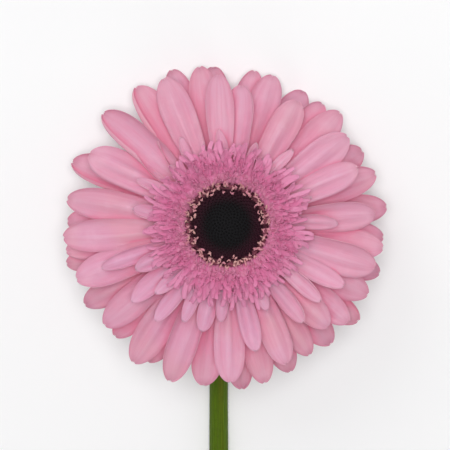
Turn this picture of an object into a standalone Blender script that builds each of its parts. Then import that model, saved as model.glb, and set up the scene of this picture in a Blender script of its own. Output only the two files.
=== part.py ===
"""Cut gerbera: one pink flower head on a bare green stem, laid down on a table.

The head is built in its own frame (petal base plane at z = 0, face up) and is then
tilted back over the neck, so that the far petals come down onto the table while the
stem lies on it. Lengths are metres, +Z is up, +Y is the long way of the part.
"""
import bmesh
import bpy
import numpy as np
from math import cos, pi, radians, sin
from mathutils import Matrix, Vector

MM = 0.001
COLLECTION = "cut_gerbera"

# ---- driving dimensions -------------------------------------------------------------
TILT = radians(25.0)            # how far the face leans away from straight up
STEM_LENGTH = 370.0 * MM        # lying part of the stem
STEM_RADIUS_NECK = 3.3 * MM     # under the head
STEM_RADIUS_CUT = 3.9 * MM      # at the cut end
STEM_SIDES = 14
SEAT = 0.3 * MM                 # gap left between pieces that touch

CORE_RADIUS = 13.4 * MM         # the drum that the rays stand on
CORE_TOP = 8.9 * MM
CUP_BOTTOM = -13.0 * MM         # underside of the flower cup
CUP_NECK_RADIUS = 3.6 * MM

CLAW_START = CORE_RADIUS + SEAT + 0.05 * MM
RAY_REACH = 54.0 * MM           # radius at which the tip heights are given
RAY_THICKNESS = 0.55 * MM
LEVEL_STEP = 1.1 * MM           # spacing of the ray levels at their base
LEVEL_TIP = (-6.4, -3.6, -0.9, 1.9, 4.7, 7.4, 9.6, 11.6)
ARCH = 0.9 * MM
FAN_POWER = 1.6

# share of the ray's length, share of its full width
RAY_OUTLINE = (
    (0.00, 0.27), (0.16, 0.40), (0.34, 0.68), (0.54, 0.90), (0.72, 1.00), (0.86, 0.97),
    (0.955, 0.73), (1.00, 0.32),
)

# (azimuth in degrees, reach in mm, full width in mm, level, extra droop of the tip in mm)
BACK_PETALS = (
    (7.5, 55.1, 10.4, 0, 0.0), (28.5, 52.9, 11.0, 0, 0.0), (60.5, 53.2, 11.2, 0, 4.95),
    (95.0, 54.8, 10.0, 0, 0.75), (110.0, 56.6, 10.4, 1, 3.2), (157.5, 57.4, 10.8, 0, 0.0),
    (178.5, 54.8, 10.4, 0, 0.0), (194.5, 56.7, 10.0, 0, 0.0), (210.5, 56.0, 10.2, 0, 0.0),
    (223.5, 54.0, 9.8, 1, 0.0), (241.0, 54.2, 10.6, 0, 0.0), (274.5, 56.6, 9.8, 0, 0.0),
    (293.0, 54.8, 11.0, 0, 0.0), (302.5, 52.6, 9.6, 1, 0.0), (311.0, 54.2, 10.8, 0, 0.0),
    (322.5, 55.6, 10.6, 1, 0.0), (342.5, 54.9, 10.6, 0, 0.0), (357.0, 53.6, 10.0, 1, 0.0),
)
MIDDLE_PETALS = (
    (19.0, 53.6, 10.8, 2, 0.0), (43.5, 54.4, 11.2, 2, 0.0), (52.0, 52.8, 10.6, 1, 0.0),
    (72.5, 53.4, 10.8, 2, 0.0), (81.5, 53.6, 10.4, 1, 0.0), (101.0, 54.8, 10.2, 2, 0.0),
    (125.0, 56.4, 11.4, 2, 0.0), (137.5, 56.8, 11.4, 3, 0.0), (171.0, 55.2, 10.8, 2, 0.0),
    (185.0, 55.8, 10.8, 3, 0.0), (189.5, 55.8, 9.0, 1, 0.0), (217.5, 54.0, 10.8, 2, 0.0),
    (235.0, 56.8, 11.4, 2, 0.0), (249.0, 56.6, 11.0, 3, 0.0), (262.0, 55.4, 11.2, 2, 0.0),
    (283.0, 55.4, 10.4, 2, 0.0), (333.0, 53.6, 11.0, 2, 0.0), (351.5, 53.6, 10.6, 3, 0.0),
)
FRONT_PETALS = (
    (4.0, 50.4, 10.4, 4, 0.0), (23.0, 48.2, 10.2, 5, 0.0), (35.5, 50.8, 11.2, 4, 0.0),
    (59.0, 48.4, 10.6, 4, 0.0), (83.5, 47.6, 11.0, 4, 0.0), (94.0, 51.0, 9.6, 5, 0.0),
    (114.0, 54.2, 11.4, 4, 0.0), (151.0, 52.6, 12.4, 4, 0.0), (199.5, 54.2, 12.0, 4, 0.0),
    (271.0, 53.4, 10.4, 4, 0.0), (294.5, 51.2, 10.2, 4, 0.0), (314.5, 48.6, 10.4, 4, 0.0),
    (322.0, 52.8, 9.6, 3, 0.0), (344.5, 52.0, 11.6, 5, 0.0),
)
# short rays of the innermost rows, joined to one collar per row
INNER_LOWER = (
    (3.0, 40.5, 6.4), (51.0, 43.5, 5.2), (121.0, 40.5, 4.8), (198.0, 46.5, 7.0),
    (216.0, 43.5, 7.0), (234.0, 39.0, 6.6), (282.0, 45.2, 8.0), (307.0, 41.0, 6.6),
    (333.0, 45.2, 7.6), (92.0, 37.0, 5.4), (150.0, 37.5, 5.6), (255.0, 40.0, 6.6),
)
INNER_UPPER = (
    (207.0, 38.8, 6.0), (226.0, 36.4, 5.6), (243.5, 35.0, 5.4), (323.0, 38.4, 6.2),
    (20.0, 35.5, 4.6), (70.0, 35.0, 4.8), (135.0, 34.5, 4.6), (172.0, 35.5, 5.0),
    (268.0, 35.5, 5.2), (296.0, 35.5, 5.0),
)

PINK_BACK = (0.66, 0.27, 0.34, 1.0)
PINK_MIDDLE = (0.70, 0.31, 0.39, 1.0)
PINK_FRONT = (0.74, 0.35, 0.43, 1.0)
PINK_INNER = (0.70, 0.31, 0.42, 1.0)
PINK_FLORET = (0.58, 0.18, 0.32, 1.0)
CREAM = (0.72, 0.50, 0.46, 1.0)
HEART_DARK = (0.012, 0.006, 0.008, 1.0)
STEM_GREEN = (0.075, 0.115, 0.018, 1.0)
BRACT_GREEN = (0.10, 0.16, 0.035, 1.0)
CORE_GREEN = (0.30, 0.36, 0.14, 1.0)

for old in list(bpy.data.objects):
    bpy.data.objects.remove(old, do_unlink=True)
home = bpy.data.collections.new(COLLECTION)
bpy.context.scene.collection.children.link(home)


def material(name, colour, roughness):
    mat = bpy.data.materials.new(name)
    mat.use_nodes = True
    shader = mat.node_tree.nodes["Principled BSDF"]
    shader.inputs["Base Color"].default_value = colour
    shader.inputs["Roughness"].default_value = roughness
    return mat


def add_object(name, verts, faces, colour, roughness=0.6):
    """One closed solid, faces turned outwards, smooth shaded."""
    mesh = bpy.data.meshes.new(name)
    mesh.from_pydata([tuple(v) for v in verts], [], faces)
    bm = bmesh.new()
    bm.from_mesh(mesh)
    bmesh.ops.recalc_face_normals(bm, faces=bm.faces)
    bm.to_mesh(mesh)
    bm.free()
    for poly in mesh.polygons:
        poly.use_smooth = True
    mesh.materials.append(material(name, colour, roughness))
    obj = bpy.data.objects.new(name, mesh)
    home.objects.link(obj)
    return obj


def height(level, r, droop=0.0):
    """Height of a ray's centreline above the petal base plane at radius r."""
    s = max(0.0, (r - CLAW_START) / (RAY_REACH - CLAW_START))
    base = level * LEVEL_STEP
    tip = LEVEL_TIP[level] * MM
    return base + (tip - base) * s ** FAN_POWER + ARCH * sin(pi * s) - droop * MM * s ** 2.4


def ray_solid(azimuth, reach, width, level, droop, start, stations, seed):
    """Vertices and faces of one strap-shaped ray: a thin channelled closed loft."""
    rng = np.random.default_rng(seed)
    bend = radians(rng.uniform(-1.2, 1.2))
    roll = radians(rng.uniform(-2.0, 2.0))
    cup = rng.uniform(0.40, 0.70) * MM
    across = (-1.0, -0.55, 0.0, 0.55, 1.0)
    verts = []
    faces = []
    count = 2 * len(across)
    for n, (along, share) in enumerate(stations):
        r = start + (reach * MM - start) * along
        a = radians(azimuth) + bend * along ** 2
        mid = np.array((r * cos(a), r * sin(a), height(level, r, droop)))
        side = np.array((-sin(a), cos(a), 0.0))
        half = 0.5 * width * MM * share
        lift = cup * sin(pi * min(1.0, along * 1.12) ** 1.2) * share
        thick = RAY_THICKNESS
        top = []
        low = []
        for t in across:
            z = lift * (t * t) + sin(roll) * half * t * along
            point = mid + side * (half * t) + np.array((0.0, 0.0, z))
            body = thick * (1.0 - 0.35 * t * t)
            top.append(point + np.array((0.0, 0.0, 0.5 * body)))
            low.append(point - np.array((0.0, 0.0, 0.5 * body)))
        verts.extend(top)
        verts.extend(reversed(low))
        if n:
            a0 = (n - 1) * count
            b0 = n * count
            for k in range(count):
                k2 = (k + 1) % count
                faces.append((a0 + k, a0 + k2, b0 + k2, b0 + k))
    last = (len(stations) - 1) * count
    for k in range(len(across) - 1):
        faces.append((k, count - 1 - k, count - 2 - k, k + 1))
        faces.append((last + k, last + k + 1, last + count - 2 - k, last + count - 1 - k))
    return verts, faces


def crown_solid(teeth, path, valley, thickness, rib, columns, rows, phase=0.0, wobble=0.0):
    """A toothed ring: path is (r, z) from foot to tip, valley the share cut between teeth."""
    pts = np.array(path, dtype=float) * MM
    steps = np.linalg.norm(np.diff(pts, axis=0), axis=1)
    run = np.concatenate(([0.0], np.cumsum(steps)))
    rng = np.random.default_rng(teeth * 7 + 3)
    reach = 1.0 - wobble * rng.random(teeth)
    verts = []
    faces = []
    total = teeth * columns
    loop = 2 * (rows + 1)
    for c in range(total):
        tooth = c // columns
        share = (c % columns) / columns
        peak = 1.0 - abs(2.0 * share - 1.0)
        top = valley + (reach[tooth] - valley) * peak
        angle = 2.0 * pi * (c / total + phase / teeth)
        outer = []
        inner = []
        for k in range(rows + 1):
            d = run[-1] * top * k / rows
            r = np.interp(d, run, pts[:, 0])
            z = np.interp(d, run, pts[:, 1])
            e = 0.02 * run[-1]
            dr = np.interp(min(d + e, run[-1]), run, pts[:, 0]) - np.interp(max(d - e, 0.0), run, pts[:, 0])
            dz = np.interp(min(d + e, run[-1]), run, pts[:, 1]) - np.interp(max(d - e, 0.0), run, pts[:, 1])
            size = max(1e-9, (dr * dr + dz * dz) ** 0.5)
            nr = dz / size
            nz = -dr / size
            fade = 1.0 - 0.35 * k / rows
            out = (0.5 * thickness + rib * peak) * fade * MM
            inn = 0.5 * thickness * fade * MM
            outer.append(((r + nr * out) * cos(angle), (r + nr * out) * sin(angle), z + nz * out))
            inner.append(((r - nr * inn) * cos(angle), (r - nr * inn) * sin(angle), z - nz * inn))
        verts.extend(outer)
        verts.extend(reversed(inner))
    for c in range(total):
        a0 = c * loop
        b0 = ((c + 1) % total) * loop
        for k in range(loop):
            k2 = (k + 1) % loop
            faces.append((a0 + k, b0 + k, b0 + k2, a0 + k2))
    return verts, faces


def turned(name, profile, colour, steps=32, roughness=0.6):
    """A solid of revolution about the head's axis; the profile runs from axis to axis."""
    mesh = bpy.data.meshes.new(name)
    pts = [(r * MM, 0.0, z * MM) for r, z in profile]
    mesh.from_pydata(pts, [(k, k + 1) for k in range(len(pts) - 1)], [])
    mesh.materials.append(material(name, colour, roughness))
    obj = bpy.data.objects.new(name, mesh)
    home.objects.link(obj)
    screw = obj.modifiers.new("turn", "SCREW")
    screw.axis = "Z"
    screw.angle = 2.0 * pi
    screw.steps = steps
    screw.render_steps = steps
    screw.use_merge_vertices = True
    screw.merge_threshold = 0.00005
    screw.use_normal_flip = True
    screw.use_smooth_shade = True
    return obj


head_pieces = []

# ---- rays, each its own piece -------------------------------------------------------
rows = (("back_petal", BACK_PETALS, PINK_BACK), ("middle_petal", MIDDLE_PETALS, PINK_MIDDLE),
        ("front_petal", FRONT_PETALS, PINK_FRONT))
seed = 11
for label, petals, colour in rows:
    for number, (azimuth, reach, width, level, droop) in enumerate(petals, start=1):
        seed += 1
        verts, faces = ray_solid(azimuth, reach, width, level, droop, CLAW_START, RAY_OUTLINE, seed)
        head_pieces.append(add_object("%s_%02d" % (label, number), verts, faces, colour, 0.55))


# ---- short inner rays: one collar per row, with its rays grown out of it -------------
COLLAR_WIDTH = 1.8 * MM
LOBE = ((-1.16, 0.0), (-1.0, 0.84), (-0.55, 0.97), (0.0, 1.0), (0.55, 0.97), (1.0, 0.84), (1.16, 0.0))


def rayed_ring(rays, level, rows):
    """A thin collar whose edge runs out into round-ended rays; one closed solid."""
    columns = []
    for azimuth, reach, width in sorted(rays):
        half = width / reach / 2.0 * 1.1
        for t, share in LOBE:
            columns.append((radians(azimuth) + half * t, reach * MM * share, t))
    gaps = []
    for k, (angle, end, t) in enumerate(columns):
        following = columns[(k + 1) % len(columns)][0] + (2.0 * pi if k + 1 == len(columns) else 0.0)
        extra = int((following - angle) / radians(16.0))
        gaps.extend((angle + (following - angle) * j / (extra + 1), 0.0, 1.2) for j in range(1, extra + 1))
    columns = sorted(columns + gaps)
    verts = []
    faces = []
    for angle, end, t in columns:
        far = max(end, CLAW_START + COLLAR_WIDTH)
        top = []
        low = []
        for k in range(rows + 1):
            r = CLAW_START + (far - CLAW_START) * k / rows
            out = (r - CLAW_START) / (RAY_REACH - CLAW_START)
            z = height(level, r) + min(1.0, t * t) * 0.9 * MM * out
            top.append((r * cos(angle), r * sin(angle), z + 0.5 * RAY_THICKNESS))
            low.append((r * cos(angle), r * sin(angle), z - 0.5 * RAY_THICKNESS))
        verts.extend(top)
        verts.extend(reversed(low))
    loop = 2 * (rows + 1)
    for c in range(len(columns)):
        a0 = c * loop
        b0 = ((c + 1) % len(columns)) * loop
        for k in range(loop):
            k2 = (k + 1) % loop
            faces.append((a0 + k, b0 + k, b0 + k2, a0 + k2))
    return verts, faces


verts, faces = rayed_ring(INNER_LOWER, 6, 3)
head_pieces.append(add_object("inner_petals_lower", verts, faces, PINK_INNER, 0.55))
verts, faces = rayed_ring(INNER_UPPER, 7, 3)
head_pieces.append(add_object("inner_petals_upper", verts, faces, PINK_INNER, 0.55))

# ---- disc florets -------------------------------------------------------------------
verts, faces = crown_solid(38, ((14.0, 9.0), (17.5, 10.2), (22.0, 10.9), (27.6, 10.2)), 0.34, 0.7, 0.25,
                           2, 2, 0.0, 0.16)
head_pieces.append(add_object("outer_florets", verts, faces, PINK_FLORET, 0.7))
verts, faces = crown_solid(34, ((14.2, 10.6), (16.6, 12.1), (19.7, 12.8), (23.4, 12.4)), 0.34, 0.7, 0.25,
                           2, 2, 0.5, 0.16)
head_pieces.append(add_object("inner_florets", verts, faces, PINK_FLORET, 0.7))
verts, faces = crown_solid(36, ((13.15, 9.6), (13.2, 12.6), (14.4, 14.6), (16.0, 15.8)), 0.55, 0.5, 0.2,
                           2, 2, 0.25, 0.2)
head_pieces.append(add_object("anther_ring", verts, faces, CREAM, 0.7))
heart_profile = ((0.0, 9.2), (12.3, 9.2), (12.5, 10.2), (12.0, 11.6), (10.6, 12.5), (8.0, 12.9),
                 (4.5, 12.8), (0.0, 12.5))
head_pieces.append(turned("disc_heart", heart_profile, HEART_DARK, 26, 0.8))

# ---- receptacle and the bracts of the cup -------------------------------------------
core_profile = ((0.0, -12.9), (2.6, -12.9), (4.3, -12.0), (7.6, -8.6), (10.4, -5.0), (12.4, -1.8),
                (13.4, -0.9), (13.4, 8.9), (0.0, 8.9))
head_pieces.append(turned("receptacle", core_profile, CORE_GREEN, 26, 0.7))
verts, faces = crown_solid(22, ((4.3, -13.0), (8.6, -8.9), (11.4, -5.3), (13.6, -2.3), (17.2, -1.3)),
                           0.72, 0.6, 0.1, 2, 4, 0.0, 0.06)
head_pieces.append(add_object("inner_bracts", verts, faces, BRACT_GREEN, 0.6))
verts, faces = crown_solid(18, ((4.6, -13.9), (9.3, -9.8), (12.4, -6.0), (15.1, -2.9)),
                           0.52, 0.6, 0.1, 2, 3, 0.5, 0.22)
head_pieces.append(add_object("outer_bracts", verts, faces, BRACT_GREEN, 0.6))

# ---- tilt the head and set its height so that the lowest ray tip meets the table ----
lean = Matrix.Rotation(-TILT, 4, "X")
lowest = min((lean @ v.co).z for o in head_pieces if "petal_" in o.name for v in o.data.vertices)
to_table = Matrix.Translation((0.0, 0.0, -lowest)) @ lean
for o in head_pieces:
    o.matrix_world = to_table

# ---- stem: neck curving down from the cup, then lying along -Y -----------------------
neck_top = to_table @ Vector((0.0, 0.0, -13.2 * MM))
drop = neck_top.z - STEM_RADIUS_NECK
turn = pi / 2.0 - TILT
bend_radius = drop / (1.0 - cos(turn))
path = []
for k in range(9):
    t = turn * k / 8
    y = neck_top.y - bend_radius * (sin(turn) - sin(turn - t))
    z = STEM_RADIUS_NECK + bend_radius * (1.0 - cos(turn - t))
    path.append((0.0, y, z))
bend_end = path[-1][1]
for k in range(1, 15):
    share = k / 14
    y = bend_end - STEM_LENGTH * share
    path.append((0.0, y, 0.0))
verts = []
faces = []
total = len(path)
lengths = [0.0]
for k in range(1, total):
    lengths.append(lengths[-1] + (Vector(path[k]) - Vector(path[k - 1])).length)
for k, (x, y, z) in enumerate(path):
    share = lengths[k] / lengths[-1]
    radius = STEM_RADIUS_NECK + (STEM_RADIUS_CUT - STEM_RADIUS_NECK) * share
    ease = min(1.0, share / 0.16)
    side = -3.0 * MM * ease * ease * (3.0 - 2.0 * ease) + 7.0 * MM * max(0.0, share - 0.25) ** 2 / 0.5625
    if k > 8:
        z = radius
        heading = Vector((0.0, -1.0, 0.0))
    else:
        t = turn * (1.0 - k / 8)
        heading = Vector((0.0, -cos(t), -sin(t)))
        z = z + (radius - STEM_RADIUS_NECK) * (k / 8)
    across = Vector((1.0, 0.0, 0.0))
    above = across.cross(heading)
    for j in range(STEM_SIDES):
        a = 2.0 * pi * (j + 0.5) / STEM_SIDES
        verts.append(Vector((x + side, y, z)) + across * (radius * cos(a)) + above * (radius * sin(a)))
for k in range(total - 1):
    for j in range(STEM_SIDES):
        j2 = (j + 1) % STEM_SIDES
        a0 = k * STEM_SIDES
        b0 = a0 + STEM_SIDES
        faces.append((a0 + j, a0 + j2, b0 + j2, b0 + j))
faces.append(tuple(range(STEM_SIDES)))
faces.append(tuple(reversed(range((total - 1) * STEM_SIDES, total * STEM_SIDES))))
stem = add_object("stem", verts, faces, STEM_GREEN, 0.55)

# ---- origin at the middle of the footprint, on the table ----------------------------
world = []
for o in head_pieces + [stem]:
    if o.name.startswith(("receptacle", "disc_heart")):
        continue
    world.extend(o.matrix_world @ v.co for v in o.data.vertices)
low = Vector((min(p.x for p in world), min(p.y for p in world), min(p.z for p in world)))
high = Vector((max(p.x for p in world), max(p.y for p in world), max(p.z for p in world)))
move = Matrix.Translation((-0.5 * (low.x + high.x), -0.5 * (low.y + high.y), -low.z))
for o in head_pieces + [stem]:
    o.matrix_world = move @ o.matrix_world
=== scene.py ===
"""Looks of the cut gerbera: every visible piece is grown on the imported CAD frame.

Places and sizes are measured on the frame's own meshes. Lengths are metres, +Z is up.
"""

from math import atan2, cos, pi, radians, sin

import bpy
import numpy as np
from mathutils import Matrix, Vector
from mathutils.bvhtree import BVHTree


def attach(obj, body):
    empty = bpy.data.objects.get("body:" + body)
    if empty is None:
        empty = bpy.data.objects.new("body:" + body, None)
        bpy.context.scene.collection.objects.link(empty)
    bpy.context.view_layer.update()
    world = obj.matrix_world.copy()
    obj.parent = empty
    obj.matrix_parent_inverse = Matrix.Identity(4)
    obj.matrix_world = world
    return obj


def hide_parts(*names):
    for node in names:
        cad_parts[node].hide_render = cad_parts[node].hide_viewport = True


MM = 0.001
CRISP = radians(78)  # edges sharper than this are shaded as edges
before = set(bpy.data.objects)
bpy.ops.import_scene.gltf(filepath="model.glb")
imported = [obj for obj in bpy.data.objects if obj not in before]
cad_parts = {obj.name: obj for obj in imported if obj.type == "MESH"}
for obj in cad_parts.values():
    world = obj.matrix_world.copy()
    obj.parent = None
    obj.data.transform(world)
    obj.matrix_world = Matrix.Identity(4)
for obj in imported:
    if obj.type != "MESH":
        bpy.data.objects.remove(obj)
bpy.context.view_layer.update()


# ---- reading the frame --------------------------------------------------------------
def node_mesh(name):
    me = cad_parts[name].data
    me.calc_loop_triangles()
    v = np.empty(len(me.vertices) * 3)
    me.vertices.foreach_get("co", v)
    f = np.empty(len(me.loop_triangles) * 3, dtype=np.int32)
    me.loop_triangles.foreach_get("vertices", f)
    return v.reshape(-1, 3), f.reshape(-1, 3)


heart = np.unique(np.round(node_mesh("disc_heart")[0], 6), axis=0)
middle = heart.mean(axis=0)
FACE = np.linalg.eigh(np.cov((heart - middle).T))[1][:, 0]
FACE = FACE * np.sign(FACE[2])
RIGHT = np.array((1.0, 0.0, 0.0)) - FACE * FACE[0]
RIGHT /= np.linalg.norm(RIGHT)
BASIS = np.array((RIGHT, np.cross(FACE, RIGHT), FACE))
HEAD = middle + FACE * ((heart - middle) @ FACE).min()
HEART_RADIUS = np.linalg.norm(((heart - HEAD) @ BASIS.T)[:, :2], axis=1).max()
HEART_TOP = ((heart - HEAD) @ BASIS.T)[:, 2].max()


def to_head(p):
    """Row frame to the head's own frame: x to the right, y up the face, z out of it."""
    return (np.asarray(p) - HEAD) @ BASIS.T


def from_head(q):
    return HEAD + np.asarray(q) @ BASIS


def spin(q, angle):
    c, s = cos(angle), sin(angle)
    q = np.asarray(q, dtype=float)
    out = q.copy()
    out[..., 0] = c * q[..., 0] - s * q[..., 1]
    out[..., 1] = s * q[..., 0] + c * q[..., 1]
    return out


def cut(v, f, origin, normal):
    """Points where the mesh's edges cross a plane."""
    d = (v - origin) @ normal
    e = np.concatenate((f[:, (0, 1)], f[:, (1, 2)], f[:, (2, 0)]))
    a, b = d[e[:, 0]], d[e[:, 1]]
    hit = a * b < 0
    t = (a[hit] / (a[hit] - b[hit]))[:, None]
    return v[e[hit, 0]] * (1 - t) + v[e[hit, 1]] * t


def measure_ray(v, f, azimuth, half_limit):
    """Root, reach, half width and the fitted run of one ray of a mesh in the head's frame."""
    q = spin(v, -azimuth)
    keep = (np.abs(q[:, 1]) < half_limit) & (q[:, 0] > 0)
    mask = keep[f].all(axis=1)
    used = q[f[mask].ravel()]
    x0, x1 = used[:, 0].min(), used[:, 0].max()
    rows = []
    for x in np.linspace(x0 + 0.02 * (x1 - x0), x1 - 0.02 * (x1 - x0), 17):
        p = cut(q, f[mask], np.array((x, 0.0, 0.0)), np.array((1.0, 0.0, 0.0)))
        if len(p) < 3:
            continue
        lo, hi = p[:, 1].min(), p[:, 1].max()
        mid, half = 0.5 * (lo + hi), 0.5 * (hi - lo)
        near = p[np.abs(p[:, 1] - mid) < 0.4 * half + 0.0002]
        near = near if len(near) else p
        rows.append((x, mid, half, 0.5 * (near[:, 2].min() + near[:, 2].max())))
    rows = np.array(rows)
    u = (rows[:, 0] - x0) / (x1 - x0)
    return {"root": x0, "reach": x1, "half": rows[:, 2].max(),
            "run": np.polyfit(u, rows[:, 3], 4), "sway": np.polyfit(u, rows[:, 1], 2)}


# ---- mesh making --------------------------------------------------------------------
class Heap:
    """Solids gathered into one mesh, with per-point values for the materials."""

    def __init__(self):
        self.v, self.f, self.m, self.n = [], [], [], 0
        self.values = {}

    def add(self, verts, faces, material=0, **values):
        verts = np.asarray(verts, dtype=float).reshape(-1, 3)
        count = len(verts)
        self.v.append(verts)
        self.f.extend(tuple(i + self.n for i in face) for face in faces)
        self.m.extend([material] * len(faces) if np.isscalar(material) else list(material))
        for key in set(self.values) | set(values):
            store = self.values.setdefault(key, [np.zeros(self.n)] if self.n else [])
            value = values.get(key, 0.0)
            store.append(np.full(count, value) if np.isscalar(value) else np.asarray(value).ravel())
        self.n += count

    def make(self, name, materials, replaces=(), slot=None):
        me = bpy.data.meshes.new(name)
        me.from_pydata(np.concatenate(self.v).tolist(), [], self.f)
        for key, store in self.values.items():
            layer = me.attributes.new(key, "FLOAT", "POINT")
            layer.data.foreach_set("value", np.concatenate(store).astype(np.float32))
        me.polygons.foreach_set("material_index", np.array(self.m, dtype=np.int32))
        me.polygons.foreach_set("use_smooth", np.ones(len(self.m), dtype=bool))
        for mat in materials:
            me.materials.append(mat)
        me.update()
        me.set_sharp_from_angle(angle=CRISP)  # thin rims stay crisp, rounded sides stay smooth
        obj = bpy.data.objects.new(name, me)
        bpy.context.scene.collection.objects.link(obj)
        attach(obj, "root")
        if replaces:
            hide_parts(*replaces)
        return obj


def sheet_faces(nu, nv):
    """Quads of a closed thin sheet: the face side, then the underside, then the rim."""
    def i(a, b):
        return a * nv + b
    total = nu * nv
    top = [(i(a, b), i(a + 1, b), i(a + 1, b + 1), i(a, b + 1)) for a in range(nu - 1)
           for b in range(nv - 1)]
    low = [tuple(total + k for k in reversed(q)) for q in top]
    ring = [i(a, 0) for a in range(nu)] + [i(nu - 1, b) for b in range(1, nv)]
    ring += [i(a, nv - 1) for a in range(nu - 2, -1, -1)] + [i(0, b) for b in range(nv - 2, 0, -1)]
    rim = []
    for k, a in enumerate(ring):
        b = ring[(k + 1) % len(ring)]
        rim.append((b, a, total + a, total + b))
    return top, low, rim


FACES = {}


def add_sheet(heap, grid, thickness, materials=(0, 0), **values):
    """A thin closed solid whose face side is the grid of points."""
    nu, nv = grid.shape[:2]
    if (nu, nv) not in FACES:
        FACES[(nu, nv)] = sheet_faces(nu, nv)
    top, low, rim = FACES[(nu, nv)]
    normal = np.cross(np.gradient(grid, axis=0), np.gradient(grid, axis=1))
    normal /= np.maximum(np.linalg.norm(normal, axis=2, keepdims=True), 1e-12)
    thick = thickness if not np.isscalar(thickness) else np.full((nu, nv), thickness)
    under = grid - normal * thick[..., None]
    verts = np.concatenate((grid.reshape(-1, 3), under.reshape(-1, 3)))
    mats = [materials[0]] * len(top) + [materials[1]] * (len(low) + len(rim))
    doubled = {k: (v if np.isscalar(v) else np.concatenate((v.ravel(), v.ravel())))
               for k, v in values.items()}
    heap.add(verts, top + low + rim, mats, **doubled)


def add_tube(heap, path, radii, sides=6, material=0, **values):
    """A round closed tube along a path, ends rounded in by their radii."""
    path = np.asarray(path)
    n = len(path)
    run = np.gradient(path, axis=0)
    run /= np.linalg.norm(run, axis=1, keepdims=True)
    aside = np.cross(run[0], (0.31, 0.77, 0.55))
    rings = []
    for k in range(n):
        aside = aside - run[k] * (aside @ run[k])
        aside /= np.linalg.norm(aside)
        other = np.cross(run[k], aside)
        a = np.arange(sides) * 2 * pi / sides
        rings.append(path[k] + radii[k] * (np.cos(a)[:, None] * aside + np.sin(a)[:, None] * other))
    verts = np.concatenate(rings)
    faces = []
    for k in range(n - 1):
        for j in range(sides):
            j2 = (j + 1) % sides
            faces.append((k * sides + j, k * sides + j2, (k + 1) * sides + j2, (k + 1) * sides + j))
    faces.append(tuple(reversed(range(sides))))
    faces.append(tuple(range((n - 1) * sides, n * sides)))
    spread = {k: (v if np.isscalar(v) else np.repeat(v, sides)) for k, v in values.items()}
    heap.add(verts, faces, material, **spread)


# ---- materials ----------------------------------------------------------------------
def linear(r, g, b):
    """Screen colour, 0 to 255, as a linear colour."""
    out = [c / 12.92 if c <= 0.04045 else ((c + 0.055) / 1.055) ** 2.4
           for c in (r / 255, g / 255, b / 255)]
    return (*out, 1.0)


class Nodes:
    """Short names for wiring one material."""

    def __init__(self, name, roughness, **constants):
        self.mat = bpy.data.materials.new(name)
        self.mat.use_nodes = True
        self.tree = self.mat.node_tree
        self.shader = self.tree.nodes["Principled BSDF"]
        self.shader.inputs["Roughness"].default_value = roughness
        for key, value in constants.items():
            self.shader.inputs[key.replace("_", " ")].default_value = value
        self.place = self.tree.nodes.new("ShaderNodeTexCoord").outputs["Object"]

    def put(self, socket, value):
        if isinstance(value, bpy.types.NodeSocket):
            self.tree.links.new(value, socket)
        else:
            socket.default_value = value

    def value(self, name):
        node = self.tree.nodes.new("ShaderNodeAttribute")
        node.attribute_name = name
        return node.outputs["Fac"]

    def maths(self, op, a, b=0.0, c=0.0):
        node = self.tree.nodes.new("ShaderNodeMath")
        node.operation = op
        for k, x in enumerate((a, b, c)):
            self.put(node.inputs[k], x)
        return node.outputs[0]

    def band(self, x, low, high, to_low=0.0, to_high=1.0):
        node = self.tree.nodes.new("ShaderNodeMapRange")
        node.interpolation_type = "SMOOTHSTEP"
        for k, y in enumerate((x, low, high, to_low, to_high)):
            self.put(node.inputs[k], y)
        return node.outputs[0]

    def noise(self, scale, detail=3.0, rough=0.5, vector=None):
        node = self.tree.nodes.new("ShaderNodeTexNoise")
        self.put(node.inputs["Vector"], vector or self.place)
        node.inputs["Scale"].default_value = scale
        node.inputs["Detail"].default_value = detail
        node.inputs["Roughness"].default_value = rough
        return node.outputs[0]

    def vector(self, x, y, z):
        node = self.tree.nodes.new("ShaderNodeCombineXYZ")
        for k, value in enumerate((x, y, z)):
            self.put(node.inputs[k], value)
        return node.outputs[0]

    def mix(self, amount, a, b, kind="MIX"):
        node = self.tree.nodes.new("ShaderNodeMix")
        node.data_type = "RGBA"
        node.blend_type = kind
        self.put(node.inputs["Factor"], amount)
        self.put(node.inputs["A"], a)
        self.put(node.inputs["B"], b)
        return node.outputs["Result"]

    def done(self, colour, height=None, depth=0.0001, strength=1.0, rough=None):
        self.put(self.shader.inputs["Base Color"], colour)
        if rough is not None:
            self.put(self.shader.inputs["Roughness"], rough)
        if height is not None:
            bump = self.tree.nodes.new("ShaderNodeBump")
            bump.inputs["Distance"].default_value = depth
            bump.inputs["Strength"].default_value = strength
            self.put(bump.inputs["Height"], height)
            self.put(self.shader.inputs["Normal"], bump.outputs[0])
        return self.mat


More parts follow.
